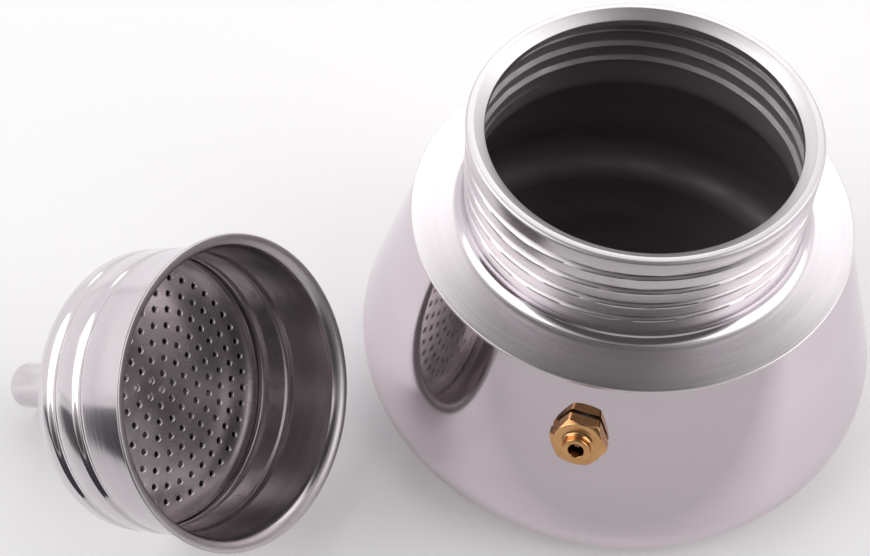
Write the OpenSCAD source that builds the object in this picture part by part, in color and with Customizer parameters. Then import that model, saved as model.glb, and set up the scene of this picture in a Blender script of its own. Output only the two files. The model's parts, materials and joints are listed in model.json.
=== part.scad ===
// Lower half of a stainless stovetop coffee maker: the boiler with its safety valve,
// and the loose funnel filter lying beside it.
// Origin: boiler axis on the base plane, +Z up. Millimetres.

/* [Boiler] */
// Outer radius of the threaded neck at its crests
neck_r = 34; // [26:0.5:46]
// Height of the shoulder plate's underside above the base
shoulder_z = 46.4; // [34:0.2:70]
// Width of the shoulder plate from the neck to its edge
shoulder_w = 10.6; // [8:0.1:16]
// How far the bell's wall spreads from its top edge to the base plane
bell_flare = 15; // [8:0.1:20]
// Radius of the bell's rounded lower corner
bell_corner_r = 8.5; // [6:0.5:12]
// Sheet thickness of the bell
bell_t = 0.8; // [0.5:0.1:1.5]
// Overhang of the shoulder plate's edge past the bell
shoulder_lip = 0.5; // [0.2:0.1:1]

/* [Base] */
// Thickness of the steel cap under the boiler
cap_t = 0.6; // [0.4:0.1:1]
// Thickness of the aluminium heat-spreading disc
disc_t = 1.6; // [1:0.1:5]
// Width of the flat foot between the recess and the rounded corner
foot_w = 0.7; // [0.2:0.1:6]

/* [Neck] */
// Sheet thickness of the neck collar
collar_t = 1; // [0.6:0.1:1.4]
// Width of the thick rim, from the neck's crests to the rim's bore
rim_w = 3.7; // [3:0.1:5]
// Height of the straight land inside the rim
rim_land_h = 1.4; // [1:0.1:1.8]
// Radius of the fillet between neck and shoulder
fillet_r = 3; // [1.5:0.5:4]
// Height of the plain band between the fillet and the lowest groove
band_h = 3.35; // [1:0.05:10]
// Pitch of the rolled thread
thread_pitch = 4.05; // [3:0.05:5]
// Number of rolled grooves
thread_turns = 4; // [2:1:6]
// Depth of the rolled grooves
thread_depth = 0.9; // [0.4:0.1:1.2]
// Width of a rolled groove at the neck's surface
groove_w = 1.6; // [0.8:0.1:2.4]
// Height of the plain land between the rim and the first groove
land_h = 2.6; // [2:0.1:5]

/* [Safety valve] */
// Direction of the valve around the boiler, in degrees
valve_azimuth = -104.8; // [-180:0.1:180]
// Drop from the shoulder plate's underside to the valve's axis
valve_drop = 11.4; // [9:0.2:20]
// Turn of the hexagon about the valve's own axis, in degrees
hex_turn = 24.85; // [0:0.05:60]
// Outer radius of the valve's shank
shank_r = 4; // [3.2:0.1:5]
// How far the hexagon's flats stand out past the shank
hex_over = 0.95; // [0.7:0.05:3]
// Thickness of the valve's hexagon
hex_h = 2.7; // [2:0.1:5]
// How far the shank reaches into the boiler from the bell's outside
shank_l = 11.4; // [9:0.2:16]
// Wall of the shank round the spring chamber
shank_wall = 1.4; // [1:0.1:1.7]
// Radius of the nipple's outlet hole
outlet_r = 1.5; // [1.2:0.1:1.8]
// Wall of the nipple round its outlet hole
nipple_wall = 1.1; // [0.8:0.1:2]
// Length of the nipple beyond the hexagon
nipple_l = 1.9; // [1.5:0.1:5]
// Thickness of each valve washer where the wall is flat
washer_t = 0.5; // [0.4:0.1:1.2]
// How far the lock nut's flats stand out past the shank
nut_over = 1.5; // [1:0.1:4]
// Thickness of the lock nut
nut_h = 2.8; // [2:0.1:4]
// Travel of the poppet as it lifts off its seat
poppet_travel = 1.2; // [0.6:0.1:1.5]
// Thickness of the seat plug that closes the chamber
seat_t = 2; // [1.4:0.1:3]
// Diameter of the spring's wire
wire_d = 0.5; // [0.3:0.05:0.6]

/* [Funnel] */
// How far the funnel's lip reaches over the rim's bore
lip_over = 0.3; // [0.2:0.1:1.8]
// Gap between the rim's bore and the cup's wall
cup_gap = 1.9; // [1:0.1:4]
// Depth of the cup from its mouth to its underside
cup_h = 27.4; // [20:0.2:36]
// Sheet thickness of the cup
cup_t = 0.6; // [0.4:0.1:1]
// Radius of the cup's rounded lower corner
cup_corner_r = 3.5; // [2.5:0.5:6]
// Distance between the two rolled beads
bead_spacing = 7.2; // [4:0.2:8]
// Depth of the rolled beads
bead_d = 0.4; // [0.3:0.1:1]
// Width of the rolled beads
bead_w = 3.2; // [1.6:0.1:3.6]
// Thickness of the perforated plate
plate_t = 0.5; // [0.4:0.1:0.8]
// Depth of the plate's skirt
plate_skirt = 1; // [1:0.1:3]
// Radius of the holes in the plate
hole_r = 0.55; // [0.4:0.05:0.8]
// Distance between the rings of holes
ring_pitch = 3.25; // [2.5:0.05:6]
// Least width of the plain border round the holes
plate_border = 4.8; // [2:0.1:12]
// Turn of the pattern of holes about the cup's axis, in degrees
plate_turn = 7; // [0:1:60]
// Outer radius of the spout tube
spout_r = 4.95; // [4:0.05:6]
// Wall thickness of the spout tube
spout_t = 0.6; // [0.4:0.1:1]
// Gap left between the spout's end and the boiler's floor when the funnel is seated
spout_gap = 1.8; // [1:0.1:6]

/* [Where the funnel lies] */
// Direction from the boiler's axis to the funnel's mouth, in degrees
lie_side = 206.4; // [190:0.1:230]
// Free space between the bell and the funnel's lip
lie_gap = 4.3; // [1:0.05:40]
// Direction that the mouth faces in plan, in degrees from +X towards -Y
mouth_turn = 24; // [0:0.5:40]

/* [Hidden] */
$fn = 96;

steel = "lightgray";
bright = "gainsboro";
brass = "goldenrod";

// ---- bell, worked out from the boiler's sizes ----
shoulder_r = neck_r + shoulder_w;              // outer edge of the shoulder plate
floor_z = cap_t + disc_t;                      // underside of the bell's floor
floor_top_z = floor_z + bell_t;
bell_top_r = shoulder_r - shoulder_lip;        // outer radius at the bell's top edge
bell_base_r = bell_top_r + bell_flare;         // where the sloping wall would meet the base plane
bell_slope = bell_flare / shoulder_z;
bell_tilt = atan(bell_slope);
foot_z = 0.3;                                  // the rounded foot stands just above the cap's face
bell_corner_z = foot_z + bell_corner_r;
// centre of the lower corner, so that its arc runs on from the sloping wall
bell_corner_x = bell_base_r - bell_slope * bell_corner_z - bell_corner_r / cos(bell_tilt);
bell_max_r = bell_corner_x + bell_corner_r;
recess_r = bell_corner_x - foot_w;             // recess in the underside that holds the disc
fold_r = 0.9;                                  // bend radius of the fold into the base recess
fit_gap = 0.1;                                 // radial clearance of what drops into a drilled hole

// Points along an arc in the (r, z) half plane
function arc(cx, cz, r, a0, a1, n = 10) =
    [for (i = [0:n]) let (a = a0 + (a1 - a0) * i / n) [cx + r * cos(a), cz + r * sin(a)]];

// Outer radius of the sloping wall at height z
function bell_r_at(z) = bell_base_r - bell_slope * z;

// ---- neck, from the shoulder up ----
shoulder_edge_t = 0.8;
shoulder_rise = 0.8;                           // rise of the plate from its edge to the fillet
rim_top_w = 0.9;                               // flat crown of the rim
rim_edge_r = 0.7;
rim_seat_drop = 1.6;                           // fall of the bevel from crown to bore
fillet_z = shoulder_z + shoulder_edge_t + shoulder_rise + fillet_r;
thread_z = fillet_z + band_h;                  // lower edge of the lowest groove
land_z = thread_z + (thread_turns - 1) * thread_pitch + groove_w;
boiler_h = land_z + land_h + rim_edge_r;       // top of the rim
neck_inner_r = neck_r - collar_t;
rim_bore_r = neck_r - rim_w;
rim_crown_r = neck_r - rim_edge_r - rim_top_w; // inner edge of the crown
rim_land_z = boiler_h - rim_seat_drop - rim_land_h;

// Heights of the groove centres, from the top one down
function groove_z(i) = land_z - groove_w / 2 - i * thread_pitch;

// One rolled groove in a wall of radius r, listed from its lower edge up (dir 1) or down (dir -1)
function groove(r, z, w, d, dir) =
    [for (k = [-4:4]) [r - d * (1 + cos(45 * k)) / 2, z + dir * w * k / 8]];

// ---- valve's own axis: w = 0 on the bell's outer face, w grows outwards ----
valve_z = shoulder_z - valve_drop;
hex_af = 2 * (shank_r + hex_over);
nut_af = 2 * (shank_r + nut_over);
hex_w0 = washer_t;
hex_w1 = hex_w0 + hex_h;
tip_w = hex_w1 + nipple_l;
inner_face_w = -bell_t;                        // inside of the wall, along the normal
nut_w1 = inner_face_w - washer_t;
nut_w0 = nut_w1 - nut_h;
shank_w0 = -shank_l;
chamber_r = shank_r - shank_wall;
seat_w1 = shank_w0 + seat_t;
chamber_w1 = 0.8;
nipple_r = outlet_r + nipple_wall;
washer_r = hex_af / 2 - 0.2;
wall_hole_r = shank_r + fit_gap;
head_r = chamber_r - 0.35;
head_h = 1.2;
stem_r = 0.8;
stem_w1 = tip_w - poppet_travel - 0.3;
spring_w0 = seat_w1 + head_h;
coil_r = (stem_r + chamber_r) / 2;
coil_turns = 6;
thread_gap = 0.05;
rest_gap = 0.02;                               // poppet and spring stop just short of what they meet

// ---- funnel: s is the depth below the mouth plane ----
lip_r = rim_bore_r + lip_over;
cup_r = rim_bore_r - cup_gap;
lip_drop = 0.5;                                // depth of the lip's underside below the mouth plane
lip_flare_r = lip_r - cup_r;                   // radius of the flare's outer face
inner_cup_r = cup_r - cup_t;
cup_corner_s = cup_h - cup_corner_r;
corner_mid_r = cup_r - cup_corner_r;
plate_s = cup_corner_s - plate_skirt - 0.05;   // upper face of the plate, whose skirt stands on the corner
plate_r = inner_cup_r - 0.05;
ring_count = floor((plate_r - plate_border) / ring_pitch);
bead_b_s = plate_s - bead_w / 2 - 0.25;        // lower bead, which holds the plate down
bead_a_s = bead_b_s - bead_spacing;
// The seated lip rests on the rim's bevel, and the spout then stops short of the floor
lip_seat_z = boiler_h - rim_seat_drop * (rim_crown_r - lip_r) / (rim_crown_r - rim_bore_r);
funnel_l = lip_seat_z + lip_drop - floor_top_z - spout_gap;

// The funnel lies on the cup's rounded corner and on the spout's end: this is the tilt
lie_run = funnel_l - cup_corner_s;
lie_rise = corner_mid_r - spout_r;
lie_tilt = atan(lie_rise / lie_run) + asin(cup_corner_r / norm([lie_run, lie_rise]));
// How far the lip reaches towards the boiler from the mouth's centre
lip_reach = lip_r * sqrt(1 - pow(cos(lie_tilt) * cos(lie_side - 180 + mouth_turn), 2));
lie_distance = bell_max_r + lip_reach + lie_gap;
mouth_x = lie_distance * cos(lie_side);
mouth_y = lie_distance * sin(lie_side);
mouth_z = funnel_l * sin(lie_tilt) + spout_r * cos(lie_tilt);

// Puts a shape built on the valve's axis, with +Z along w, in its place on the bell
module on_valve_axis() {
    rotate([0, 0, valve_azimuth])
        translate([bell_r_at(valve_z), 0, valve_z])
            rotate([0, 90 - bell_tilt, 0])
                children();
}

// Puts a shape built with +Z out of the funnel's mouth, mouth plane at z = 0, where it lies
module lying() {
    translate([mouth_x, mouth_y, mouth_z])
        rotate([0, 90 - lie_tilt, -mouth_turn])
            children();
}

// Solid that fills the boiler out to a surface a given depth inside the bell's outer face
module bell_core(depth) {
    shift = depth / cos(bell_tilt);
    cylinder(h = shoulder_z + 20, r1 = bell_base_r - shift,
             r2 = bell_r_at(shoulder_z + 20) - shift, $fn = 720);
}

// Drawn bell: sloping wall, rounded corner, folded foot and raised floor in one sheet
module boiler_bell() {
    inner_r = bell_corner_r - bell_t;
    shift = bell_t / cos(bell_tilt);
    outer = concat(
        [[bell_top_r, shoulder_z]],
        arc(bell_corner_x, bell_corner_z, bell_corner_r, bell_tilt, -90),
        [[recess_r, foot_z], [recess_r, floor_z], [0, floor_z]]);
    inner = concat(
        [[0, floor_top_z]],
        arc(recess_r + bell_t - fold_r, floor_top_z - fold_r, fold_r, 90, 0, 4),
        [[recess_r + bell_t, foot_z + bell_t]],
        arc(bell_corner_x, bell_corner_z, inner_r, -90, bell_tilt),
        [[bell_top_r - shift, shoulder_z]]);
    color(bright)
        difference() {
            rotate_extrude() polygon(concat(outer, inner));
            on_valve_axis() translate([0, 0, -4]) cylinder(h = 8, r = wall_hole_r);
        }
}

// Pressed collar: shoulder plate, fillet, neck with rolled grooves and the thick rim
module neck_collar() {
    inner_fillet = fillet_r + collar_t;
    rolled = [for (i = [thread_turns - 1:-1:0]) i];
    outer = concat(
        [[shoulder_r, shoulder_z], [shoulder_r, shoulder_z + shoulder_edge_t - 0.2],
         [shoulder_r - 0.2, shoulder_z + shoulder_edge_t]],
        [for (p = arc(neck_r + fillet_r, fillet_z, fillet_r, 270, 180, 8)) p],
        [for (i = rolled) for (p = groove(neck_r, groove_z(i), groove_w, thread_depth, 1)) p],
        [[neck_r, boiler_h - rim_edge_r]],
        arc(neck_r - rim_edge_r, boiler_h - rim_edge_r, rim_edge_r, 15, 90, 4),
        [[rim_crown_r, boiler_h], [rim_bore_r, boiler_h - rim_seat_drop], [rim_bore_r, rim_land_z]]);
    inner = concat(
        [for (p = groove(neck_inner_r, groove_z(0), groove_w, thread_depth, -1))
            if (p[1] <= groove_z(0)) p],
        [for (i = [1:thread_turns - 1])
            for (p = groove(neck_inner_r, groove_z(i), groove_w, thread_depth, -1)) p],
        [for (p = arc(neck_r + fillet_r, fillet_z, inner_fillet, 180, 262, 8)) p],
        [[neck_r + fillet_r, shoulder_z]]);
    color(steel) rotate_extrude() polygon(concat(outer, inner));
}

// Weld bead in the corner between the bell's top edge and the shoulder plate
module shoulder_weld() {
    bead = 1;
    wall_r = bell_top_r - bell_t / cos(bell_tilt);
    color(steel)
        rotate_extrude()
            polygon([[wall_r, shoulder_z], [wall_r - bead, shoulder_z],
                     [wall_r + bead * bell_slope, shoulder_z - bead]]);
}

// Aluminium disc pressed into the recess under the floor
module heat_disc() {
    color("silver") translate([0, 0, cap_t]) cylinder(h = disc_t, r = recess_r - cap_t);
}

// Steel cap that closes the recess: flat face below, rim up the recess wall
module base_cap() {
    color(steel)
        difference() {
            cylinder(h = floor_z, r = recess_r);
            translate([0, 0, cap_t]) cylinder(h = floor_z, r = recess_r - cap_t);
        }
}

// Hexagonal prism with a chamfered upper face
module chamfered_hex(af, h) {
    corner_r = af / sqrt(3);
    chamfer = 0.5;
    intersection() {
        cylinder(h = h, r = corner_r, $fn = 6);
        union() {
            cylinder(h = h - chamfer, r = corner_r + 0.1);
            translate([0, 0, h - chamfer])
                cylinder(h = chamfer, r1 = corner_r + 0.1, r2 = af / 2 - 0.1);
        }
    }
}

// Brass valve body: hexagon, waisted nipple, shank through the wall, stepped bore
module valve_body() {
    foot_r = nipple_r + 1;
    color(brass) on_valve_axis()
        difference() {
            union() {
                translate([0, 0, hex_w0]) rotate([0, 0, hex_turn]) chamfered_hex(hex_af, hex_h);
                translate([0, 0, hex_w1]) rotate_extrude()
                    polygon(concat([[0, 0]],
                        arc(foot_r, 1, 1, 270, 180, 6),
                        [[nipple_r, nipple_l - 0.25], [nipple_r - 0.25, nipple_l], [0, nipple_l]]));
                translate([0, 0, shank_w0]) cylinder(h = hex_w0 - shank_w0 + 1, r = shank_r);
            }
            translate([0, 0, shank_w0 - 1]) cylinder(h = chamber_w1 - shank_w0 + 1, r = chamber_r);
            cylinder(h = tip_w + 1, r = outlet_r);
        }
}

// Thin sealing ring under the hexagon, shaped to the bell's outside
module valve_outer_washer() {
    color("dimgray")
        difference() {
            on_valve_axis() translate([0, 0, -2]) difference() {
                cylinder(h = 2 + hex_w0, r = washer_r);
                translate([0, 0, -1]) cylinder(h = 6, r = wall_hole_r);
            }
            bell_core(0);
        }
}

// Thicker sealing ring inside the bell, flat towards the nut
module valve_inner_washer() {
    color("dimgray")
        intersection() {
            on_valve_axis() translate([0, 0, nut_w1]) difference() {
                cylinder(h = 3, r = washer_r);
                translate([0, 0, -1]) cylinder(h = 6, r = wall_hole_r);
            }
            bell_core(bell_t);
        }
}

// Brass lock nut on the shank
module valve_lock_nut() {
    color(brass) on_valve_axis()
        translate([0, 0, nut_w0])
            difference() {
                cylinder(h = nut_h, r = nut_af / sqrt(3), $fn = 6);
                translate([0, 0, -1]) cylinder(h = nut_h + 2, r = shank_r + thread_gap);
            }
}

// Screwed plug that closes the spring chamber and carries the seat
module valve_seat_plug() {
    color(brass) on_valve_axis()
        translate([0, 0, shank_w0])
            difference() {
                cylinder(h = seat_t, r = chamber_r);
                translate([0, 0, -1]) cylinder(h = seat_t + 2, r = 1.1);
            }
}

// Poppet: flat head on the seat and a pin that shows in the outlet
module valve_poppet() {
    color("silver") on_valve_axis()
        translate([0, 0, seat_w1 + rest_gap])
            rotate_extrude()
                polygon(concat(
                    [[0, 0], [head_r, 0], [head_r, head_h - 2 * rest_gap], [stem_r, head_h - 2 * rest_gap]],
                    arc(0, stem_w1 - seat_w1 - stem_r, stem_r, 0, 90, 5)));
}

// Wire of the spring as a closed sweep along its helix
module valve_spring() {
    sides = 6;
    per_turn = 14;
    wire_r = wire_d / 2;
    z0 = spring_w0 + wire_r + rest_gap;
    z1 = chamber_w1 - wire_r - rest_gap;
    rings = coil_turns * per_turn;
    points = [for (i = [0:rings]) let (a = 360 * i / per_turn, z = z0 + (z1 - z0) * i / rings)
        for (j = [0:sides - 1]) let (b = 360 * j / sides, r = coil_r + wire_r * cos(b))
            [r * cos(a), r * sin(a), z + wire_r * sin(b)]];
    faces = concat(
        [[for (j = [0:sides - 1]) j]],
        [for (i = [0:rings - 1]) for (j = [0:sides - 1]) let (k = (j + 1) % sides)
            [i * sides + j, (i + 1) * sides + j, (i + 1) * sides + k, i * sides + k]],
        [[for (j = [sides - 1:-1:0]) rings * sides + j]]);
    color("silver") on_valve_axis() polyhedron(points, faces, convexity = 10);
}

// Spun cup: flared lip, straight wall with two rolled beads, rounded corner, floor round the spout
module funnel_cup() {
    r_in = cup_corner_r - cup_t;
    flare_s = lip_drop + lip_flare_r;          // depth where the flare begins
    outer = concat(
        [for (p = arc(lip_r, -flare_s, lip_flare_r, 90, 180, 8)) p],
        [for (s = [bead_a_s, bead_b_s]) for (p = groove(cup_r, -s, bead_w, bead_d, -1)) p],
        arc(corner_mid_r, -cup_corner_s, cup_corner_r, 0, -90, 8),
        [[spout_r, -cup_h]]);
    inner = concat(
        [[spout_r, -cup_h + cup_t]],
        arc(corner_mid_r, -cup_corner_s, r_in, -90, 0, 8),
        [for (s = [bead_b_s, bead_a_s]) for (p = groove(inner_cup_r, -s, bead_w, bead_d, 1)) p],
        [for (p = arc(lip_r, -flare_s, lip_flare_r + cup_t, 180, 90, 8)) p]);
    color(bright) lying()
        rotate_extrude() polygon(concat(outer, inner));
}

// Perforated plate with a turned-down skirt, held under the lower bead
module filter_plate() {
    color(steel) lying()
        translate([0, 0, -plate_s])
            difference() {
                rotate_extrude()
                    polygon([[0, 0], [plate_r - 0.4, 0], [plate_r, -0.4], [plate_r, -plate_skirt],
                             [plate_r - plate_t, -plate_skirt], [plate_r - plate_t, -plate_t],
                             [0, -plate_t]]);
                for (ring = [0:ring_count])
                    for (i = [0:max(6 * ring, 1) - 1])
                        rotate([0, 0, plate_turn + 360 * i / max(6 * ring, 1)])
                            translate([ring * ring_pitch, 0, -plate_t - 1])
                                cylinder(h = plate_t + 2, r = hole_r, $fn = 16);
            }
}

// Straight tube from the cup's floor down to the spout's end
module spout_tube() {
    tube_l = funnel_l - cup_h + cup_t;
    color(bright) lying()
        translate([0, 0, -funnel_l])
            difference() {
                cylinder(h = tube_l, r = spout_r);
                translate([0, 0, -1]) cylinder(h = tube_l + 2, r = spout_r - spout_t);
            }
}

// Small weld bead where the tube meets the cup's underside
module spout_weld() {
    bead = 0.8;
    color(steel) lying()
        translate([0, 0, -cup_h]) rotate_extrude()
            polygon([[spout_r, 0], [spout_r, -bead], [spout_r + bead, 0]]);
}

boiler_bell();
neck_collar();
shoulder_weld();
heat_disc();
base_cap();
valve_body();
valve_outer_washer();
valve_inner_washer();
valve_lock_nut();
valve_seat_plug();
valve_poppet();
valve_spring();
funnel_cup();
filter_plate();
spout_tube();
spout_weld();
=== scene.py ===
"""Boiler of a steel stovetop coffee pot, with its safety valve and its loose funnel filter."""

import json
import math

import bmesh
import bpy
from mathutils import Matrix, Vector


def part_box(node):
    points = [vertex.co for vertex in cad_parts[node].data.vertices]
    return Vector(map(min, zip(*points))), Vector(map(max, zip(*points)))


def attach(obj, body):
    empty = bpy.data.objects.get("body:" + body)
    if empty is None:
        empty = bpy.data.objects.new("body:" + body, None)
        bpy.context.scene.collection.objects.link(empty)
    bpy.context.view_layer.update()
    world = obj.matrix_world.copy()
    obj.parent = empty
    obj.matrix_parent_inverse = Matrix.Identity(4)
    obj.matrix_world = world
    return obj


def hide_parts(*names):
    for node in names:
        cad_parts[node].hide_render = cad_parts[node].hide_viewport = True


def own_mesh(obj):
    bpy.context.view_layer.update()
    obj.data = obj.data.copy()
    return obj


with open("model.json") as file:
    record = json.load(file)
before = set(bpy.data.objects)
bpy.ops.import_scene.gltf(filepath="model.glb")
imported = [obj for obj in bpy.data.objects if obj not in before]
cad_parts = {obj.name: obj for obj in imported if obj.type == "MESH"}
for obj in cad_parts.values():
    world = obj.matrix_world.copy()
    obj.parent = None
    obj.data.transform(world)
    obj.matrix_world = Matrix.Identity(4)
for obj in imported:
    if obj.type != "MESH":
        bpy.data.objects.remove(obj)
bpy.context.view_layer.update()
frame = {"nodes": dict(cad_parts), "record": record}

# Camera: stands over the valve's side of the boiler and looks down into its open neck.
# A normal lens, held level, so that the rim and the funnel's mouth show as ellipses.
camera_data = bpy.data.cameras.new("table_camera")
camera_data.lens = 59.65
camera_data.sensor_width = 36
camera_data.clip_start = 0.01
camera = bpy.data.objects.new("table_camera", camera_data)
camera.location = (-0.0397, -0.18985, 0.26928)
look_down = 52.31
camera.rotation_euler = (math.radians(90 - look_down), 0, 0)
bpy.context.scene.collection.objects.link(camera)
bpy.context.scene.camera = camera
bpy.context.scene.view_settings.view_transform = "Standard"

# Table top: a wide pale sheet under the pot; painted shade greys it in front, where the bell reflects
# it.
# It lies a hair under the base, and isn't part of the pot.
def stage_sheet(name, spot, length, width, dark, light):
    """A flat sheet of card with a very faint cloud in its tone, kept out of the export."""
    card = bpy.data.meshes.new(name)
    grid = bmesh.new()
    bmesh.ops.create_grid(grid, x_segments=4, y_segments=4, size=0.5)
    bmesh.ops.scale(grid, vec=(length, width, 1), verts=grid.verts)
    bmesh.ops.translate(grid, vec=spot, verts=grid.verts)
    grid.to_mesh(card)
    grid.free()
    sheet = bpy.data.objects.new(name, card)
    bpy.context.scene.collection.objects.link(sheet)
    paint = bpy.data.materials.new(name)
    paint.use_nodes = True
    tree = paint.node_tree
    shader = tree.nodes["Principled BSDF"]
    shader.inputs["Roughness"].default_value = 0.75
    shader.inputs["Specular IOR Level"].default_value = 0.15
    place = tree.nodes.new("ShaderNodeTexCoord")
    cloud = tree.nodes.new("ShaderNodeTexNoise")
    cloud.inputs["Scale"].default_value = 3.0
    tint = tree.nodes.new("ShaderNodeValToRGB")
    tint.color_ramp.elements[0].color = (*dark, 1)
    tint.color_ramp.elements[1].color = (*light, 1)
    tree.links.new(place.outputs["Object"], cloud.inputs["Vector"])
    tree.links.new(cloud.outputs["Fac"], tint.inputs["Fac"])
    tree.links.new(tint.outputs["Color"], shader.inputs["Base Color"])
    card.materials.append(paint)
    return sheet


table_top = stage_sheet("table_top", spot=(0, 0, -0.0002), length=4.0, width=4.0,
                        dark=(0.92, 0.91, 0.92), light=(0.97, 0.965, 0.97))
table_tree = table_top.data.materials[0].node_tree
table_paint = table_tree.nodes["Principled BSDF"].inputs
# Painted light: the table glows faintly, so that it reads whiter than the lamps alone make it.
table_paint["Emission Color"].default_value = (0.98, 0.97, 0.98, 1)
table_paint["Emission Strength"].default_value = 0.10
# Painted shade: the table's colour is dimmed to 0.62 of itself in front of the pot.
across_table = table_tree.nodes.new("ShaderNodeSeparateXYZ")
painted_front_shade = table_tree.nodes.new("ShaderNodeMapRange")
painted_front_shade.inputs["From Min"].default_value = -0.085
painted_front_shade.inputs["From Max"].default_value = -0.058
painted_front_shade.inputs["To Min"].default_value = 0.62
painted_front_shade.inputs["To Max"].default_value = 1.0
painted_shade_tone = table_tree.nodes.new("ShaderNodeVectorMath")
painted_shade_tone.operation = "SCALE"
table_tree.links.new(table_tree.nodes["Texture Coordinate"].outputs["Object"],
                     across_table.inputs["Vector"])
table_tree.links.new(across_table.outputs["Y"], painted_front_shade.inputs["Value"])
table_tree.links.new(table_tree.nodes["Color Ramp"].outputs["Color"], painted_shade_tone.inputs[0])
table_tree.links.new(painted_front_shade.outputs["Result"], painted_shade_tone.inputs["Scale"])
table_tree.links.new(painted_shade_tone.outputs["Vector"], table_paint["Base Color"])

# Studio: a pale tent, darker overhead and in front, and large soft boxes left, right and behind.
# A dark card on the table gives the funnel's wall its dark reflection. The card itself is hidden
# from the camera; the shade it throws on the table isn't.
dark_card = stage_sheet("dark_card", spot=(-0.365, -0.32, 0.0005), length=0.48, width=0.47,
                        dark=(0.03, 0.028, 0.034), light=(0.06, 0.055, 0.066))
dark_card.visible_camera = False

tent = bpy.data.worlds.new("studio_tent")
bpy.context.scene.world = tent
tent.use_nodes = True
nodes, links = tent.node_tree.nodes, tent.node_tree.links
sky = nodes["Background"]
place = nodes.new("ShaderNodeTexCoord")
split = nodes.new("ShaderNodeSeparateXYZ")
shade = nodes.new("ShaderNodeValToRGB")
shade.color_ramp.elements[0].position = 0.77
shade.color_ramp.elements[0].color = (0.92, 0.905, 0.92, 1)
shade.color_ramp.elements[1].position = 0.91
shade.color_ramp.elements[1].color = (0.07, 0.066, 0.07, 1)
fronted = nodes.new("ShaderNodeMapRange")
fronted.interpolation_type = "SMOOTHSTEP"
fronted.inputs["From Min"].default_value = -0.72
fronted.inputs["From Max"].default_value = -0.38
fronted.inputs["To Min"].default_value = 0.10
fronted.inputs["To Max"].default_value = 1.0
links.new(place.outputs["Generated"], split.inputs["Vector"])
links.new(split.outputs["Z"], shade.inputs["Fac"])
links.new(split.outputs["Y"], fronted.inputs["Value"])
links.new(shade.outputs["Color"], sky.inputs["Color"])
links.new(fronted.outputs["Result"], sky.inputs["Strength"])
boiler_middle = Vector((0, 0, 0.03))


def soft_box(name, spot, width, height, power):
    """A rectangular soft light at spot, turned to face the middle of the boiler."""
    data = bpy.data.lights.new(name, "AREA")
    data.shape = "RECTANGLE"
    data.size, data.size_y = width, height
    data.energy = power
    lamp = bpy.data.objects.new(name, data)
    lamp.location = spot
    lamp.rotation_mode = "QUATERNION"
    lamp.rotation_quaternion = (boiler_middle - Vector(spot)).to_track_quat("-Z", "Y")
    bpy.context.scene.collection.objects.link(lamp)


soft_box("left_box", (-1.0, -0.05, 0.75), width=1.2, height=1.0, power=4.6)
soft_box("right_box", (1.0, -0.10, 0.70), width=1.2, height=1.0, power=4.6)
soft_box("back_box", (0.05, 1.0, 0.90), width=1.4, height=0.8, power=3.6)

# Boiler bell: one sheet of stainless steel, drawn deep and spun to a flared bell with a
# rounded foot and a floor pushed up inside. Mirror polished outside, left dull and dark inside.
mm = 0.001
mounts = {m["name"]: m for m in frame["record"]["mounts"]}


def size_of(mount, key):
    """A mount's dimension, in millimetres."""
    return mounts[mount]["dims"][key]


def arc(centre_r, centre_z, radius, start, end, count=10):
    """(r, z) points along an arc, with its angles in degrees."""
    turns = [math.radians(start + (end - start) * i / count) for i in range(count + 1)]
    return [(centre_r + radius * math.cos(a), centre_z + radius * math.sin(a)) for a in turns]


def straight(start, end, count):
    """Points evenly along a straight stretch of outline, without its last one."""
    return [tuple(a + (b - a) * i / count for a, b in zip(start, end)) for i in range(count)]


def lathe(outline, steps=240, closed=True):
    """Turns an outline of (r, z) points, in millimetres, once round the Z axis."""
    bm = bmesh.new()
    corners = [bm.verts.new((r, 0, z)) for r, z in outline]
    followers = corners[1:] + corners[:1] if closed else corners[1:]
    sides = [bm.edges.new(pair) for pair in zip(corners, followers)]
    bmesh.ops.spin(bm, geom=corners + sides, cent=(0, 0, 0), axis=(0, 0, 1),
                   angle=math.tau, steps=steps, use_merge=True)
    bmesh.ops.remove_doubles(bm, verts=bm.verts, dist=1e-5)
    bmesh.ops.recalc_face_normals(bm, faces=bm.faces)
    return bm


def finish_piece(bm, name, finishes, body, stands_for, place=Matrix.Identity(4), crease=38):
    """Puts a mesh made in millimetres in its place, smooths it and seats it on its body."""
    bmesh.ops.transform(bm, matrix=place @ Matrix.Scale(mm, 4), verts=bm.verts)
    mesh = bpy.data.meshes.new(name)
    bm.to_mesh(mesh)
    bm.free()
    mesh.shade_smooth()
    mesh.set_sharp_from_angle(angle=math.radians(crease))
    for finish in finishes:
        mesh.materials.append(finish)
    piece = bpy.data.objects.new(name, mesh)
    bpy.context.scene.collection.objects.link(piece)
    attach(piece, body)
    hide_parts(*stands_for)
    return piece


def new_group(name, inputs, outputs):
    """An empty shader node group with the named sockets; inputs give their usual values."""
    group = bpy.data.node_groups.new(name, "ShaderNodeTree")
    for socket, usual in inputs.items():
        kind = "NodeSocketVector" if usual is None else "NodeSocketFloat"
        made = group.interface.new_socket(name=socket, in_out="INPUT", socket_type=kind)
        if usual is not None:
            made.default_value = usual
    for socket in outputs:
        group.interface.new_socket(name=socket, in_out="OUTPUT", socket_type="NodeSocketFloat")
    return group, group.nodes.new("NodeGroupInput"), group.nodes.new("NodeGroupOutput")


def work_out(tree, operation, *values):
    """A Math node in that tree; each value is a socket or a number."""
    node = tree.nodes.new("ShaderNodeMath")
    node.operation = operation
    for i, value in enumerate(values):
        if isinstance(value, (int, float)):
            node.inputs[i].default_value = value
        else:
            tree.links.new(value, node.inputs[i])
    return node.outputs[0]


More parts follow.
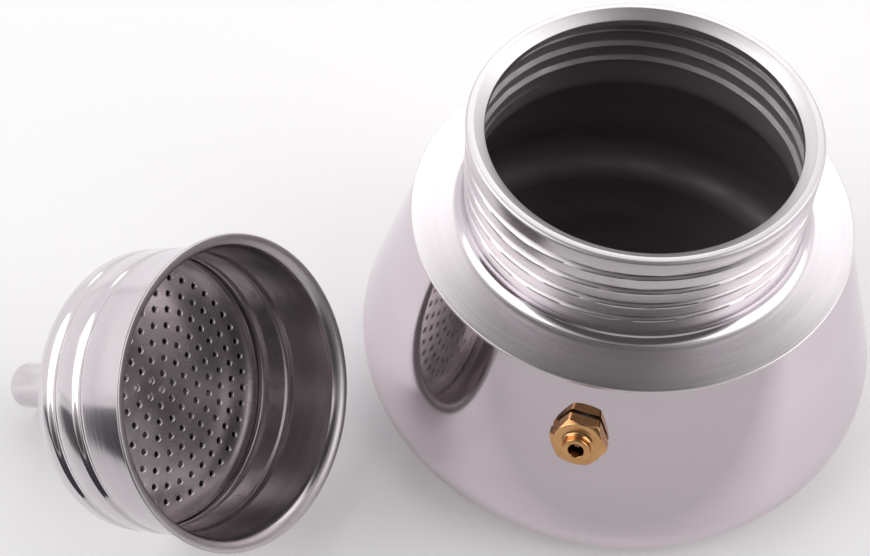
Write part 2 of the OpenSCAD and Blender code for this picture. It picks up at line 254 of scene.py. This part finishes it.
# Marks of the lathe: fine lines that run round the axis, with no seam where they close.
lathe_marks, given, result = new_group(
    "lathe_marks", {"Place": None, "Fineness": 2500.0, "Streak": 6.0},
    ["Height", "Tone", "Radius"])
split = lathe_marks.nodes.new("ShaderNodeSeparateXYZ")
lathe_marks.links.new(given.outputs["Place"], split.inputs["Vector"])
x, y, z = split.outputs
x_squared = work_out(lathe_marks, "MULTIPLY", x, x)
y_squared = work_out(lathe_marks, "MULTIPLY", y, y)
radius = work_out(lathe_marks, "SQRT", work_out(lathe_marks, "ADD", x_squared, y_squared))
lathe_marks.links.new(radius, result.inputs["Radius"])
round_x = work_out(lathe_marks, "MULTIPLY", work_out(lathe_marks, "DIVIDE", x, radius),
                   given.outputs["Streak"])
round_y = work_out(lathe_marks, "MULTIPLY", work_out(lathe_marks, "DIVIDE", y, radius),
                   given.outputs["Streak"])
across = lathe_marks.nodes.new("ShaderNodeCombineXYZ")
lathe_marks.links.new(work_out(lathe_marks, "MULTIPLY", radius, given.outputs["Fineness"]),
                      across.inputs["X"])
lathe_marks.links.new(work_out(lathe_marks, "MULTIPLY", z, given.outputs["Fineness"]),
                      across.inputs["Y"])
lathe_marks.links.new(round_x, across.inputs["Z"])
for output, scale, detail in (("Height", 1.0, 3.0), ("Tone", 0.12, 2.0)):
    lines = lathe_marks.nodes.new("ShaderNodeTexNoise")
    lines.noise_dimensions = "4D"
    lines.inputs["Scale"].default_value = scale
    lines.inputs["Detail"].default_value = detail
    lathe_marks.links.new(across.outputs["Vector"], lines.inputs["Vector"])
    lathe_marks.links.new(round_y, lines.inputs["W"])
    lathe_marks.links.new(lines.outputs["Fac"], result.inputs[output])

# Haze of handling: soft clouds and wipes that dull a finish here and there.
handling_haze, given, result = new_group(
    "handling_haze", {"Place": None, "Size": 30.0, "Clear": 0.05, "Dull": 0.15}, ["Roughness", "Tone"])
clouds = handling_haze.nodes.new("ShaderNodeTexNoise")
clouds.inputs["Detail"].default_value = 5.0
clouds.inputs["Distortion"].default_value = 0.6
handling_haze.links.new(given.outputs["Place"], clouds.inputs["Vector"])
handling_haze.links.new(given.outputs["Size"], clouds.inputs["Scale"])
spread = handling_haze.nodes.new("ShaderNodeMapRange")
spread.inputs["From Min"].default_value = 0.35
spread.inputs["From Max"].default_value = 0.70
handling_haze.links.new(clouds.outputs["Fac"], spread.inputs["Value"])
handling_haze.links.new(given.outputs["Clear"], spread.inputs["To Min"])
handling_haze.links.new(given.outputs["Dull"], spread.inputs["To Max"])
handling_haze.links.new(spread.outputs["Result"], result.inputs["Roughness"])
handling_haze.links.new(clouds.outputs["Fac"], result.inputs["Tone"])


def metal(name, dark, light, roughness, haze=30.0, lines=2500.0, streak=6.0, depth=0.02,
          axis=Matrix.Identity(4), metallic=1.0, groove_shade_radii=None):
    """A worked metal: tone from dark to light, roughness from clear to dull, marks round axis.

    The last argument gives the radii, in millimetres, between which painted shade darkens the bottom of
    a groove.
    """
    made = bpy.data.materials.new(name)
    made.use_nodes = True
    tree = made.node_tree
    shader = tree.nodes["Principled BSDF"]
    shader.inputs["Metallic"].default_value = metallic
    place = tree.nodes.new("ShaderNodeTexCoord")
    centred = tree.nodes.new("ShaderNodeMapping")
    inverse = axis.inverted()
    centred.inputs["Location"].default_value = inverse.to_translation()
    centred.inputs["Rotation"].default_value = inverse.to_euler()
    tree.links.new(place.outputs["Object"], centred.inputs["Vector"])
    marks = tree.nodes.new("ShaderNodeGroup")
    marks.node_tree = lathe_marks
    marks.inputs["Fineness"].default_value = lines
    marks.inputs["Streak"].default_value = streak
    tree.links.new(centred.outputs["Vector"], marks.inputs["Place"])
    dulled = tree.nodes.new("ShaderNodeGroup")
    dulled.node_tree = handling_haze
    dulled.inputs["Size"].default_value = haze
    dulled.inputs["Clear"].default_value, dulled.inputs["Dull"].default_value = roughness
    tree.links.new(centred.outputs["Vector"], dulled.inputs["Place"])
    tone = tree.nodes.new("ShaderNodeValToRGB")
    tone.color_ramp.elements[0].position = 0.3
    tone.color_ramp.elements[0].color = (*dark, 1)
    tone.color_ramp.elements[1].position = 0.7
    tone.color_ramp.elements[1].color = (*light, 1)
    tree.links.new(marks.outputs["Tone"], tone.inputs["Fac"])
    # Painted shade: the tone darkens towards the bottom of a groove, by radius.
    if groove_shade_radii:
        painted_groove_shade = tree.nodes.new("ShaderNodeMapRange")
        painted_groove_shade.inputs["From Min"].default_value, painted_groove_shade.inputs["From Max"].default_value = (
            r * mm for r in groove_shade_radii)
        painted_groove_shade.inputs["To Min"].default_value = 0.30
        painted_shade_tone = tree.nodes.new("ShaderNodeVectorMath")
        painted_shade_tone.operation = "SCALE"
        tree.links.new(marks.outputs["Radius"], painted_groove_shade.inputs["Value"])
        tree.links.new(tone.outputs["Color"], painted_shade_tone.inputs[0])
        tree.links.new(painted_groove_shade.outputs["Result"], painted_shade_tone.inputs["Scale"])
        tree.links.new(painted_shade_tone.outputs["Vector"], shader.inputs["Base Color"])
    else:
        tree.links.new(tone.outputs["Color"], shader.inputs["Base Color"])
    tree.links.new(dulled.outputs["Roughness"], shader.inputs["Roughness"])
    relief = tree.nodes.new("ShaderNodeBump")
    relief.inputs["Strength"].default_value = 1.0
    relief.inputs["Distance"].default_value = depth * mm
    tree.links.new(marks.outputs["Height"], relief.inputs["Height"])
    tree.links.new(relief.outputs["Normal"], shader.inputs["Normal"])
    return made


def dull_lining(name, dark, light, roughness):
    """Unpolished inside of a drawn part: dark, mottled and faintly grained."""
    return metal(name, dark, light, roughness, haze=140.0, lines=900.0, streak=9.0, depth=0.02,
                 metallic=0.6)


bell_low, bell_high = (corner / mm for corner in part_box("boiler_bell"))
collar_low, collar_high = (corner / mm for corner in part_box("neck_collar"))
disc_low, disc_high = (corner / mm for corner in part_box("heat_disc"))
bell_t = 0.8
cap_t = disc_low.z
shoulder_lip = 0.5
bell_top_r = collar_high.x - shoulder_lip
bell_max_r = bell_high.x
bell_corner_r = 8.5
foot_z = bell_low.z
recess_r = disc_high.x + cap_t
floor_z = disc_high.z
corner_z = foot_z + bell_corner_r
corner_x = bell_max_r - bell_corner_r
# The wall leaves the rounded corner at the angle that brings it to the bell's top edge
reach = math.hypot(bell_top_r - corner_x, bell_high.z - corner_z)
bell_tilt = math.degrees(math.atan2(bell_high.z - corner_z, bell_top_r - corner_x)
                         - math.acos(bell_corner_r / reach))
wall_shift = bell_t / math.cos(math.radians(bell_tilt))
foot_hem_r = 0.3
fold_r = 0.9
inner_fold_r = fold_r * 0.3
floor_mid_r = 20
bell_outline = (
    straight((bell_top_r, bell_high.z), arc(corner_x, corner_z, bell_corner_r, bell_tilt, 0, 1)[0], 24)
    + arc(corner_x, corner_z, bell_corner_r, bell_tilt, -90, 28)
    + arc(recess_r + foot_hem_r, foot_z + foot_hem_r, foot_hem_r, -90, -180, 4)
    + arc(recess_r - inner_fold_r, floor_z - inner_fold_r, inner_fold_r, 0, 90, 4)
    + [(floor_mid_r, floor_z), (0, floor_z)])
bell_lining = (
    [(0, floor_z + bell_t), (floor_mid_r, floor_z + bell_t)]
    + arc(recess_r + bell_t - fold_r, floor_z + bell_t - fold_r, fold_r, 90, 0, 8)
    + arc(corner_x, corner_z, bell_corner_r - bell_t, -90, bell_tilt, 24)
    + [(bell_top_r - wall_shift, bell_high.z)])

mirror_steel = metal("mirror_steel", (0.68, 0.60, 0.64), (0.72, 0.645, 0.68), (0.04, 0.10),
                     haze=45.0, lines=700.0, streak=4.0, depth=0.0012)
bell_inside = dull_lining("bell_inside", (0.34, 0.31, 0.32), (0.47, 0.435, 0.45), (0.45, 0.60))

bell = lathe(bell_outline + bell_lining, closed=False)
loose_edges = [e for e in bell.edges if len(e.link_faces) == 1]
bmesh.ops.bridge_loops(bell, edges=loose_edges)
bmesh.ops.recalc_face_normals(bell, faces=bell.faces)
for face in bell.faces:
    centre = face.calc_center_median()
    inwards = face.normal.x * centre.x + face.normal.y * centre.y < -1e-4
    face.material_index = int((inwards and centre.z > floor_z + 0.2) or face.normal.z > 0.6)
finish_piece(bell, "bell", [mirror_steel, bell_inside], "boiler", ["boiler_bell"])

# Base: an aluminium disc that spreads the heat, pressed into the recess under the floor,
# and the thin steel cap that closes it and stands on the hob.
disc_aluminium = metal("disc_aluminium", (0.55, 0.55, 0.56), (0.72, 0.72, 0.73), (0.35, 0.5),
                       lines=1800.0)
cap_steel = metal("cap_steel", (0.42, 0.40, 0.41), (0.60, 0.58, 0.59), (0.22, 0.34), lines=1500.0,
                  depth=0.03)


def keep_node(node, finish):
    """A node whose shape is right as it is: it gets its finish."""
    piece = frame["nodes"][node]
    piece.data.materials.clear()
    piece.data.materials.append(finish)


keep_node("heat_disc", disc_aluminium)
keep_node("base_cap", cap_steel)

# Neck collar: pressed from thicker sheet, with a flat turned shoulder, a polished fillet, a
# satin neck with a round thread rolled through it, and a thick rim that is bevelled inwards.
neck_r = size_of("neck_land", "r_mm")
rim_bore_r = size_of("rim_bore", "r_mm")
rim_land_h = size_of("rim_bore", "length_mm")
rim_land_z = mounts["rim_bore"]["pos_m"][2] / mm - rim_land_h / 2
neck_top = collar_high.z
shoulder_r, shoulder_z = collar_high.x, collar_low.z
collar_t = 1.0
edge_t, edge_round, shoulder_rise, edge_land = 0.8, 0.22, 0.8, 1.2
fillet_r = 3.0
fillet_z = shoulder_z + edge_t + shoulder_rise + fillet_r
rim_round, rim_crown_w, crown_round, bore_round, rim_step = 0.7, 0.9, 0.25, 0.3, 0.5
rim_crown_r = neck_r - rim_round - rim_crown_w
rim_seat_z = rim_land_z + rim_land_h
land_z = mounts["neck_land"]["pos_m"][2] / mm - size_of("neck_land", "length_mm") / 2
neck_inner_r = neck_r - collar_t
thread_pitch, thread_depth, thread_w = 4.05, 0.9, 1.7
collar_outline = (
    [(shoulder_r - edge_land, shoulder_z), (shoulder_r - 0.2, shoulder_z)]
    + arc(shoulder_r - edge_round, shoulder_z + edge_round, edge_round, -90, 0, 4)
    + arc(shoulder_r - edge_round, shoulder_z + edge_t - edge_round, edge_round, 0, 84, 5)
    + straight((shoulder_r - 0.5, shoulder_z + edge_t + 0.03),
               (neck_r + fillet_r, fillet_z - fillet_r), 12)
    + arc(neck_r + fillet_r, fillet_z, fillet_r, 270, 180, 16)
    + straight((neck_r, fillet_z + 0.2), (neck_r, land_z + 0.4), 84)
    + arc(neck_r - rim_round, neck_top - rim_round, rim_round, 0, 90, 8)
    + arc(rim_crown_r + 0.1, neck_top - crown_round, crown_round, 90, 128, 4)
    + arc(rim_bore_r + bore_round, rim_seat_z - 0.1, bore_round, 128, 180, 4)
    + [(rim_bore_r, rim_land_z + 0.2), (rim_bore_r + 0.2, rim_land_z)]
    + [(neck_inner_r - 0.4, rim_land_z - rim_step)]
    + straight((neck_inner_r, rim_land_z - 2 * rim_step), (neck_inner_r, fillet_z + 0.2), 80)
    + arc(neck_r + fillet_r, fillet_z, fillet_r + collar_t, 180, 262, 12))

# The thread begins on this side of the neck, sweeps this far and fades at both ends, in degrees
thread_side, thread_sweep, fade_sweep, lead_in = 120, 1290, 60, 150
thread_rows, land_gap = 3.05, 0.6
helix_start = math.radians(thread_side)
helix_low = land_z - thread_rows * thread_pitch - thread_pitch * lead_in / 360 - land_gap
helix_turns = thread_sweep / 360
run_out = fade_sweep / 360


def groove_depth(angle, height):
    """Depth of the right-hand rolled thread at a place on the neck; it fades at both ends."""
    first = ((angle - helix_start) % math.tau) / math.tau
    deepest = 0.0
    for turn in range(math.ceil(helix_turns)):
        along = first + turn
        away = abs(height - helix_low - thread_pitch * along) / (thread_w / 2)
        if along <= helix_turns and away < 1:
            fade = min(1.0, along / run_out, (helix_turns - along) / run_out)
            deepest = max(deepest, fade * (1 + math.cos(math.pi * away)) / 2)
    return thread_depth * deepest


shoulder_turned = metal("shoulder_turned", (0.60, 0.56, 0.58), (0.80, 0.765, 0.785), (0.26, 0.34),
                        lines=1500.0, streak=3.0, depth=0.022)
fillet_polished = metal("fillet_polished", (0.66, 0.61, 0.64), (0.74, 0.69, 0.72), (0.10, 0.17),
                        lines=1500.0, streak=5.0, depth=0.006)
# The neck's thread grooves get painted shade, darker towards their bottoms.
neck_satin = metal("neck_satin", (0.60, 0.56, 0.58), (0.76, 0.72, 0.74), (0.20, 0.29), lines=1500.0,
                   streak=4.0, depth=0.016, groove_shade_radii=(neck_r - thread_depth, neck_r - 0.15))
neck_inside = dull_lining("neck_inside", (0.24, 0.22, 0.23), (0.36, 0.33, 0.345), (0.40, 0.55))
rim_turned = metal("rim_turned", (0.62, 0.59, 0.605), (0.78, 0.75, 0.765), (0.36, 0.46), lines=1500.0,
                   streak=3.0, depth=0.02)


def draw_in(vert, share):
    """Moves a vert towards the piece's axis, to that share of its radius."""
    vert.co.x *= share
    vert.co.y *= share


collar = lathe(collar_outline, steps=300)
for vert in collar.verts:
    out = math.hypot(vert.co.x, vert.co.y)
    if fillet_z < vert.co.z < land_z + 0.5 and out > neck_inner_r - 0.05:
        depth = groove_depth(math.atan2(vert.co.y, vert.co.x), vert.co.z)
        draw_in(vert, 1 - depth / out)
bmesh.ops.recalc_face_normals(collar, faces=collar.faces)
turned, polished, satin, lining, rim = range(5)
for face in collar.faces:
    centre = face.calc_center_median()
    out = math.hypot(centre.x, centre.y)
    faces_in = face.normal.x * centre.x + face.normal.y * centre.y < 0
    under_rim = (face.normal.z < -0.1 and centre.z > fillet_z
                 and out < min(neck_r - 0.5, rim_crown_r + 0.5))
    if (faces_in and centre.z < rim_land_z + 0.1) or under_rim:
        face.material_index = lining
    elif centre.z < fillet_z - fillet_r * 0.86 and out > neck_r + fillet_r * 0.5:
        face.material_index = turned
    elif centre.z < fillet_z + 0.4:
        face.material_index = polished
    else:
        face.material_index = satin if centre.z < land_z + 1.6 and not faces_in else rim
finish_piece(collar, "collar",
             [shoulder_turned, fillet_polished, neck_satin, neck_inside, rim_turned],
             "boiler", ["neck_collar"])

weld_steel = metal("weld_steel", (0.30, 0.28, 0.28), (0.50, 0.47, 0.47), (0.3, 0.45), haze=300.0,
                   lines=900.0, streak=60.0, depth=0.08)
keep_node("shoulder_weld", weld_steel)

# Safety valve: turned brass, a hexagon outside with a waisted nipple, and a shank that goes
# through the bell's wall and holds a poppet and its spring. A lock nut clamps it inside.
valve_spot = Vector(mounts["valve_hole"]["pos_m"])
valve_out = Vector(mounts["valve_hole"]["axis"]).normalized()
down_wall = (Vector((0, 0, -1)) + valve_out * valve_out.z).normalized()
valve_place = Matrix((down_wall, valve_out.cross(down_wall), valve_out)).transposed().to_4x4()
valve_place.translation = valve_spot
washer_t = 0.5
hex_af, hex_h, hex_turn = 9.9, 2.7, math.radians(24.85)
shank_r, shank_l, chamber_r, chamber_w = 4.0, 11.4, 2.6, 0.8
outlet_r, nipple_r, nipple_l = 1.5, 2.6, 1.9
shank_bevel, thread_relief, crown_w, crown_h = 0.4, 1.3, 0.95, 0.75
waist_r, nipple_round, outlet_round = 0.9, 0.3, 0.2
hex_w = washer_t + hex_h
tip_w = hex_w + nipple_l
corner_r = hex_af / math.sqrt(3)
valve_outline = (
    [(shank_r - shank_bevel, -shank_l), (shank_r, -shank_l + shank_bevel)]
    + straight((shank_r, -shank_l + 0.5), (shank_r, -washer_t - thread_relief), 70)
    + [(shank_r, washer_t)]
    + [(corner_r, washer_t), (corner_r, washer_t + 0.15)]
    + straight((corner_r, hex_w - crown_h), (corner_r - 0.9, hex_w - 0.06), 10)
    + [(corner_r - crown_w, hex_w), (nipple_r + 1.0, hex_w)]
    + arc(nipple_r + waist_r, hex_w + waist_r, waist_r, 262, 180, 10)
    + arc(nipple_r - nipple_round, tip_w - nipple_round, nipple_round, 0, 90, 6)
    + arc(outlet_r + outlet_round, tip_w - outlet_round, outlet_round, 90, 180, 4)
    + [(outlet_r, chamber_w), (chamber_r, chamber_w), (chamber_r, -shank_l)])


def press_hexagon(bm, across_flats, turn, low, high, least_r):
    """Flattens six sides on the turned blank between two heights, with slightly eased corners."""
    for vert in bm.verts:
        out = math.hypot(vert.co.x, vert.co.y)
        if low - 1e-4 <= vert.co.z <= high + 1e-4 and out > least_r:
            side = (math.atan2(vert.co.y, vert.co.x) - turn) % (math.pi / 3) - math.pi / 6
            flat = min(across_flats / 2 / math.cos(side), across_flats / math.sqrt(3) - 0.1)
            if out > flat:
                draw_in(vert, flat / out)


def cut_thread(bm, major_r, pitch, depth, low, high):
    """A fine screw thread on the verts of that radius."""
    for vert in bm.verts:
        out = math.hypot(vert.co.x, vert.co.y)
        if low < vert.co.z < high and abs(out - major_r) < 0.02:
            turn = (vert.co.z / pitch - math.atan2(vert.co.y, vert.co.x) / math.tau) % 1
            cut = depth * abs(2 * turn - 1)
            draw_in(vert, 1 - cut / out)


valve_brass = metal("valve_brass", (0.60, 0.31, 0.12), (0.80, 0.46, 0.21), (0.16, 0.30), haze=400.0,
                    lines=4000.0, streak=8.0, depth=0.010, axis=valve_place)
valve_steel = metal("valve_steel", (0.20, 0.19, 0.19), (0.34, 0.32, 0.32), (0.22, 0.34), haze=500.0,
                    lines=4000.0, axis=valve_place)
valve_seal = metal("valve_seal", (0.018, 0.014, 0.013), (0.05, 0.04, 0.036), (0.6, 0.8), haze=600.0,
                   lines=1500.0, streak=40.0, depth=0.03, axis=valve_place, metallic=0.0)
valve = lathe(valve_outline, steps=144)
press_hexagon(valve, hex_af, hex_turn, low=washer_t, high=hex_w, least_r=nipple_r + 1.2)
cut_thread(valve, shank_r, pitch=1.0, depth=0.28, low=-shank_l + 0.3, high=-washer_t - 1.2)
bmesh.ops.recalc_face_normals(valve, faces=valve.faces)
finish_piece(valve, "valve_fitting", [valve_brass], "boiler", ["valve_body"],
             valve_place, crease=30)

nut_af, nut_h = 11.0, 2.8
nut_top = -bell_t - washer_t
nut_low = nut_top - nut_h
nut_corner = nut_af / math.sqrt(3)
nut_face_r, nut_ease = nut_corner - crown_w, 0.6
nut_bore_r, nut_mouth_r, nut_bevel = shank_r + 0.05, shank_r + 0.35, 0.3
nut_outline = (
    [(nut_mouth_r, nut_low)]
    + straight((nut_face_r, nut_low), (nut_corner, nut_low + nut_ease), 6)
    + [(nut_corner, nut_low + nut_ease)]
    + straight((nut_corner, nut_top - nut_ease), (nut_face_r, nut_top), 6)
    + [(nut_face_r, nut_top), (nut_mouth_r, nut_top), (nut_bore_r, nut_top - nut_bevel),
       (nut_bore_r, nut_low + nut_bevel)])
lock_nut = lathe(nut_outline, steps=144)
press_hexagon(lock_nut, nut_af, 0.0, low=nut_low, high=nut_top, least_r=shank_r + 0.6)
bmesh.ops.recalc_face_normals(lock_nut, faces=lock_nut.faces)
finish_piece(lock_nut, "lock_nut", [valve_brass], "boiler", ["valve_lock_nut"],
             valve_place, crease=30)
keep_node("valve_outer_washer", valve_seal)
keep_node("valve_inner_washer", valve_seal)
keep_node("valve_seat_plug", valve_brass)
keep_node("valve_poppet", valve_steel)

# Return spring: steel wire wound in six coils between the poppet's head and the chamber's end.
wire_r, coil_r, coils, coil_steps = 0.25, 1.7, 6, 30
spring_low, spring_high = -8.18, 0.78
spring = bmesh.new()
wire_start = Matrix.Translation((coil_r, 0, spring_low + wire_r)) @ Matrix.Rotation(math.pi / 2, 4, "X")
wire_ring = bmesh.ops.create_circle(spring, segments=12, radius=wire_r, matrix=wire_start)["verts"]
rise = (spring_high - spring_low - 2 * wire_r) / (coils * coil_steps)
bmesh.ops.spin(spring, geom=wire_ring + list(spring.edges), cent=(0, 0, 0), axis=(0, 0, 1),
               dvec=(0, 0, rise), angle=math.tau * coils, steps=coils * coil_steps, use_merge=False)
bmesh.ops.holes_fill(spring, edges=[e for e in spring.edges if len(e.link_faces) == 1], sides=0)
bmesh.ops.recalc_face_normals(spring, faces=spring.faces)
coil = finish_piece(spring, "return_spring", [valve_steel], "boiler", ["valve_spring"],
                    valve_place)
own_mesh(coil)

# Funnel cup: spun from one sheet, with a flared lip, two beads rolled into its straight wall
# and a rounded corner. Bright outside, with the lathe's fine lines; duller inside.
mouth_spot = Vector(mounts["cup_mouth"]["pos_m"])
mouth_out = Vector(mounts["cup_mouth"]["axis"]).normalized()
down_cup = (Vector((0, 0, -1)) + mouth_out * mouth_out.z).normalized()
funnel_place = Matrix((down_cup, mouth_out.cross(down_cup), mouth_out)).transposed().to_4x4()
funnel_place.translation = mouth_spot
cup_r = size_of("cup_wall", "r_mm")
spout_bore_r = size_of("spout_bore", "r_mm")
spout_t = 0.6
spout_r = spout_bore_r + spout_t
cup_t, cup_h, cup_corner_r, cup_floor_mid_r = 0.6, 27.4, 3.5, 15
lip_drop, lip_round, lip_satin_s = 0.5, cup_t / 2, 0.9
lip_r = cup_r + 2.2
flare_s = lip_drop + lip_r - cup_r
bead_a, bead_b, bead_d, bead_w, bead_steps = 13.8, 21.0, 0.4, 3.2, 12
corner_s, corner_mid_r = cup_h - cup_corner_r, cup_r - cup_corner_r


def bead(radius, depth, up):
    """(r, z) points across one rolled bead at a depth below the mouth, upwards or downwards."""
    order = range(-bead_steps, bead_steps + 1)
    return [(radius - bead_d * (1 + math.cos(math.pi * k / bead_steps)) / 2,
             -depth - bead_w * k / (2 * bead_steps)) for k in (reversed(order) if up else order)]


cup_outline = (
    arc(lip_r - lip_round, lip_round - lip_drop, lip_round, 90, -90, 8)
    + arc(lip_r, -flare_s, lip_r - cup_r, 96, 180, 12)
    + bead(cup_r, bead_a, False) + bead(cup_r, bead_b, False)
    + arc(corner_mid_r, -corner_s, cup_corner_r, 0, -90, 14)
    + [(cup_floor_mid_r, -cup_h), (spout_r, -cup_h), (spout_r, -cup_h + cup_t)]
    + [(cup_floor_mid_r, -cup_h + cup_t)]
    + arc(corner_mid_r, -corner_s, cup_corner_r - cup_t, -90, 0, 14)
    + bead(cup_r - cup_t, bead_b, True) + bead(cup_r - cup_t, bead_a, True)
    + arc(lip_r, -flare_s, lip_r - cup_r + cup_t, 180, 96, 12))

cup_bright = metal("cup_bright", (0.66, 0.61, 0.64), (0.78, 0.74, 0.76), (0.07, 0.14), lines=1500.0,
                   streak=5.0, depth=0.006, axis=funnel_place)
cup_inside = metal("cup_inside", (0.40, 0.365, 0.375), (0.60, 0.555, 0.57), (0.20, 0.32), lines=1500.0,
                   streak=4.0, depth=0.02, axis=funnel_place)
lip_satin = metal("lip_satin", (0.50, 0.46, 0.475), (0.68, 0.64, 0.655), (0.32, 0.44), lines=1500.0,
                  streak=3.0, depth=0.02, axis=funnel_place)
cup = lathe(cup_outline, steps=256)
for face in cup.faces:
    centre = face.calc_center_median()
    inwards = face.normal.x * centre.x + face.normal.y * centre.y < -1e-3
    if centre.z > -lip_satin_s and (inwards or face.normal.z > 0.1):
        face.material_index = 2
    else:
        face.material_index = int(inwards or face.normal.z > 0.8)
finish_piece(cup, "cup", [cup_bright, cup_inside, lip_satin], "funnel", ["funnel_cup"],
             funnel_place)

# Filter plate: thin rolled sheet, punched from above so that every hole has a small dimple,
# with its edge turned down into a skirt. It snaps in under the lower bead.
plate_t, plate_skirt, plate_gap = 0.5, 1.0, 0.05
plate_r = cup_r - cup_t - plate_gap
plate_z = -(corner_s - plate_skirt - plate_gap)
flat_r, under_edge = plate_r - 0.4, 0.2
hole_r, dimple_r, ring_pitch, ring_count = 0.55, 0.82, 3.25, 7
plate_turn = math.radians(7)
plate_steel = metal("plate_steel", (0.60, 0.55, 0.57), (0.72, 0.67, 0.69), (0.20, 0.30), haze=90.0,
                    lines=3000.0, streak=2.0, depth=0.004, axis=funnel_place)
plate = bmesh.new()


def ring_edges(bm, radius, height, segments, spot=(0, 0)):
    """A circle of edges at a height, round a spot."""
    centre = Matrix.Translation((spot[0], spot[1], height))
    made = bmesh.ops.create_circle(bm, segments=segments, radius=radius, matrix=centre)["verts"]
    return list({edge for vert in made for edge in vert.link_edges})


def draw_down(bm, edges, radius, steps, spot=(0, 0)):
    """Draws a round rim of edges, ring by ring, to each (radius, height); returns the last ring."""
    height = 0.0
    for next_r, next_z in steps:
        drawn = bmesh.ops.extrude_edge_only(bm, edges=edges)["geom"]
        verts = [part for part in drawn if isinstance(part, bmesh.types.BMVert)]
        edges = [part for part in drawn if isinstance(part, bmesh.types.BMEdge)
                 and all(v in verts for v in part.verts)]
        bmesh.ops.scale(bm, vec=(next_r / radius, next_r / radius, 1), verts=verts,
                        space=Matrix.Translation((-spot[0], -spot[1], 0)))
        bmesh.ops.translate(bm, vec=(0, 0, next_z - height), verts=verts)
        radius, height = next_r, next_z
    return edges


hole_spots = []
for ring in range(ring_count + 1):
    ring_r, holes = ring * ring_pitch, max(6 * ring, 1)
    for i in range(holes):
        turn = plate_turn + math.tau * i / holes
        hole_spots.append((ring_r * math.cos(turn), ring_r * math.sin(turn)))
dimple = [(0.74, -0.04), (0.64, -0.13), (hole_r, -0.28), (hole_r, -plate_t)]
upper_rims, lower_rims = [], []
for spot in hole_spots:
    rim_edges = ring_edges(plate, dimple_r, 0, 12, spot)
    upper_rims += rim_edges
    lower_rims += draw_down(plate, rim_edges, dimple_r, dimple, spot)
upper_edge = ring_edges(plate, flat_r, 0, 180)
lower_edge = ring_edges(plate, plate_r - plate_t - under_edge, -plate_t, 180)
bmesh.ops.triangle_fill(plate, use_beauty=True, edges=upper_rims + upper_edge)
bmesh.ops.triangle_fill(plate, use_beauty=True, edges=lower_rims + lower_edge)
skirt = [(plate_r - 0.28, -0.03), (plate_r - 0.12, -0.12), (plate_r - 0.03, -0.28),
         (plate_r, -0.45), (plate_r, -plate_skirt), (plate_r - plate_t, -plate_skirt),
         (plate_r - plate_t, -plate_t - under_edge)]
skirt_end = draw_down(plate, upper_edge, flat_r, skirt)
bmesh.ops.bridge_loops(plate, edges=skirt_end + lower_edge)
bmesh.ops.remove_doubles(plate, verts=plate.verts, dist=1e-4)
bmesh.ops.recalc_face_normals(plate, faces=plate.faces)
bmesh.ops.translate(plate, verts=plate.verts, vec=(0, 0, plate_z))
finish_piece(plate, "strainer", [plate_steel], "funnel", ["filter_plate"],
             funnel_place, crease=9)

# Spout: a drawn tube that stands in the cup's floor and is welded round underneath.
# Its free end is cut square and rubbed smooth.
spout_end = -(cup_h - cup_t + size_of("spout_bore", "length_mm"))
spout_top = -cup_h + cup_t
end_round = 0.2
spout_outline = (
    arc(spout_r - end_round, spout_end + end_round, end_round, -90, 0, 4)
    + straight((spout_r, spout_end + 0.6), (spout_r, spout_top), 12)
    + [(spout_r, spout_top), (spout_bore_r, spout_top)]
    + arc(spout_bore_r + end_round, spout_end + end_round, end_round, 180, 270, 4))
spout = lathe(spout_outline, steps=96)
spout_steel = metal("spout_steel", (0.64, 0.60, 0.62), (0.76, 0.72, 0.74), (0.12, 0.2), lines=1200.0,
                    streak=20.0, depth=0.004, axis=funnel_place)
finish_piece(spout, "spout", [spout_steel], "funnel", ["spout_tube"], funnel_place)
keep_node("spout_weld", weld_steel)
